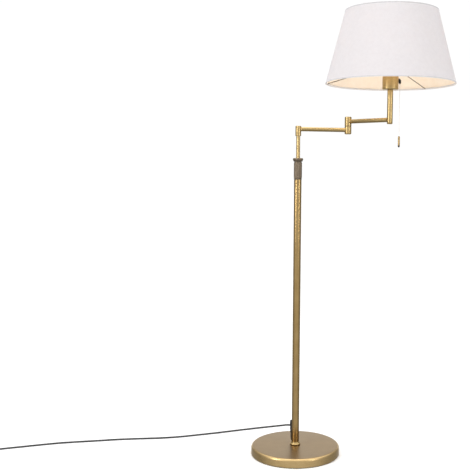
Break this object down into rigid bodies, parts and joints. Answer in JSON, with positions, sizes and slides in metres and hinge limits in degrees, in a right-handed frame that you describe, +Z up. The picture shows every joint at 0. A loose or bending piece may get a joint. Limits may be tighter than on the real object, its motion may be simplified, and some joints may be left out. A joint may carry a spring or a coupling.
{
  "type": "pharmacy floor lamp",
  "caption": "Height-adjustable floor lamp with a round weighted base, folding swing arm, tapered drum shade, pull switch and mains cord.",
  "frame": {"origin": "middle of the base's underside, on the floor, on the pole's axis", "axes": "+Z up the pole; at rest the swing arm reaches towards +X"},
  "size_m": [1.3688, 0.4876, 1.226],
  "materials": {
    "brushed_brass": "brushed antique brass, satin lacquer",
    "brown_bronze": "darker bronzed ribs",
    "steel": "zinc or nickel plated",
    "cast_iron": "as cast",
    "felt": "black felt",
    "pale_plastic": "moulded",
    "black_plastic": "moulded",
    "shade_fabric": "white fabric on a stiff liner",
    "frame_wire": "drawn steel wire, nickel plated",
    "bulb_glass": "frosted",
    "pull_string": "braided cord"
  },
  "bodies": {
    "base": {"base_pad": "felt", "base_weight": "cast_iron", "base_cover": "brushed_brass", "foot_nipple": "steel", "foot_washer": "steel", "foot_nut": "steel", "pole_foot_insert": "steel", "foot_ferrule": "brushed_brass", "pole_tube": "brushed_brass", "pole_top_bush": "pale_plastic", "collet": "pale_plastic", "strain_relief": "black_plastic", "mains_cord": "black_plastic", "cord_coil": "black_plastic", "cord_tail": "black_plastic", "plug_body": "black_plastic", "plug_pin_1": "steel", "plug_pin_2": "steel", "coil_tie": "black_plastic"},
    "lock": {"lock_collar": "brown_bronze", "collar_ring": "brushed_brass"},
    "mast": {"inner_tube": "brushed_brass", "slide_guide": "pale_plastic", "elbow_pin": "steel", "elbow_washer": "brushed_brass"},
    "arm_1": {"elbow_head": "brushed_brass", "arm_1_rod": "brushed_brass", "knuckle_lower": "brushed_brass", "knuckle_pin": "steel", "knuckle_washer": "brown_bronze"},
    "arm_2": {"arm_2_rod": "brushed_brass", "knuckle_upper": "brushed_brass", "stem_tube": "brushed_brass", "stem_cap": "brushed_brass", "stem_nipple": "steel", "stem_insert": "steel", "holder_cup": "brushed_brass", "lampholder": "pale_plastic", "shade_ring_nut": "pale_plastic", "shade_carrier": "frame_wire", "shade_bottom_ring": "frame_wire", "shade_skin": "shade_fabric", "shade_top_ring": "frame_wire", "bulb": "bulb_glass", "switch_nozzle": "black_plastic"},
    "switch_bead": {"pull_bead": "steel"},
    "pull": {"pull_cord": "pull_string", "pull_weight": "brushed_brass"}
  },
  "joints": [
    {"name": "collar_twist", "type": "hinge", "parent": "base", "child": "lock", "pos_m": [0, 0, 0.8], "axis": [0, 0, 1], "range_deg": [0, 120]},
    {"name": "height_slide", "type": "slide", "parent": "base", "child": "mast", "axis": [0, 0, 1], "range_m": [-0.055, 0.3]},
    {"name": "arm_1_swivel", "type": "hinge", "parent": "mast", "child": "arm_1", "pos_m": [0, 0, 0.905], "axis": [0, 0, 1], "range_deg": [-170, 170]},
    {"name": "arm_2_swivel", "type": "hinge", "parent": "arm_1", "child": "arm_2", "pos_m": [0.1385, 0.025, 0.9265], "axis": [0, 0, 1], "range_deg": [-120, 220]},
    {"name": "switch_pull", "type": "slide", "parent": "arm_2", "child": "switch_bead", "axis": [0, 0, -1], "range_m": [0, 0.005], "stiffness_N_per_m": 900},
    {"name": "pull_swing", "type": "hinge", "parent": "switch_bead", "child": "pull", "pos_m": [0.2705, -0.065, 1.0325], "axis": [1, 0, 0], "range_deg": [-35, 35]}
  ]
}
